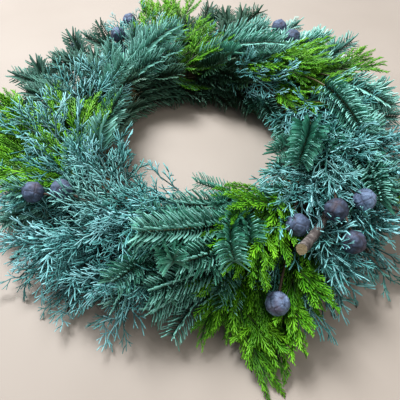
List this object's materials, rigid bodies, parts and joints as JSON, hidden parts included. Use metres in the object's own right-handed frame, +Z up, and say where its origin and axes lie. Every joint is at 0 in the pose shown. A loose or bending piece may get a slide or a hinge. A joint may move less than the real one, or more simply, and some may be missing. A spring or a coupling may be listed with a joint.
{
  "type": "fresh evergreen wreath",
  "caption": "Round wreath of fir and cypress sprays with cypress cones, wired in one direction on a straw ring and lying flat.",
  "frame": {"origin": "bottom centre of the bounding box, on the surface that the wreath lies on", "axes": "+Z up out of the wreath's face, +Y away from the camera, +X to the picture's right"},
  "size_m": [0.4778, 0.5164, 0.0912],
  "materials": {
    "straw": "dry straw, matt",
    "wire": "green lacquered binding wire",
    "fir": "waxy deep blue-green needles, paler beneath",
    "blue_cypress": "matt grey-blue scale leaves on thin threads",
    "green_cypress": "bright yellow-green flat fans",
    "cone": "grey-purple cone scales with a waxy bloom",
    "twig": "grey-brown bark, pale cut end",
    "berry": "dark purple berries with a light bloom"
  },
  "bodies": {
    "root": {"berry_sprig_01": "berry", "binding_wire": "wire", "blue_cypress_spray_01": "blue_cypress", "blue_cypress_spray_02": "blue_cypress", "blue_cypress_spray_03": "blue_cypress", "blue_cypress_spray_04": "blue_cypress", "blue_cypress_spray_05": "blue_cypress", "blue_cypress_spray_06": "blue_cypress", "blue_cypress_spray_07": "blue_cypress", "blue_cypress_spray_08": "blue_cypress", "blue_cypress_spray_09": "blue_cypress", "blue_cypress_spray_10": "blue_cypress", "blue_cypress_spray_11": "blue_cypress", "blue_cypress_spray_12": "blue_cypress", "blue_cypress_spray_13": "blue_cypress", "blue_cypress_spray_14": "blue_cypress", "blue_cypress_spray_15": "blue_cypress", "blue_cypress_spray_16": "blue_cypress", "cone_bunch_01": "cone", "cone_bunch_02": "cone", "cone_bunch_03": "cone", "cone_bunch_04": "cone", "cone_bunch_05": "cone", "cone_bunch_06": "cone", "cone_bunch_07": "cone", "cut_twig_01": "twig", "fir_spray_01": "fir", "fir_spray_02": "fir", "fir_spray_03": "fir", "fir_spray_04": "fir", "fir_spray_05": "fir", "fir_spray_06": "fir", "fir_spray_07": "fir", "fir_spray_08": "fir", "fir_spray_09": "fir", "fir_spray_10": "fir", "fir_spray_11": "fir", "fir_spray_12": "fir", "fir_spray_13": "fir", "fir_spray_14": "fir", "fir_spray_15": "fir", "fir_spray_16": "fir", "fir_spray_17": "fir", "fir_spray_18": "fir", "fir_spray_19": "fir", "fir_spray_20": "fir", "fir_spray_21": "fir", "fir_spray_22": "fir", "green_cypress_spray_01": "green_cypress", "green_cypress_spray_02": "green_cypress", "green_cypress_spray_03": "green_cypress", "green_cypress_spray_04": "green_cypress", "green_cypress_spray_05": "green_cypress", "green_cypress_spray_06": "green_cypress", "green_cypress_spray_07": "green_cypress", "green_cypress_spray_08": "green_cypress", "green_cypress_spray_09": "green_cypress", "green_cypress_spray_10": "green_cypress", "green_cypress_spray_11": "green_cypress", "straw_ring": "straw"}
  },
  "joints": []
}
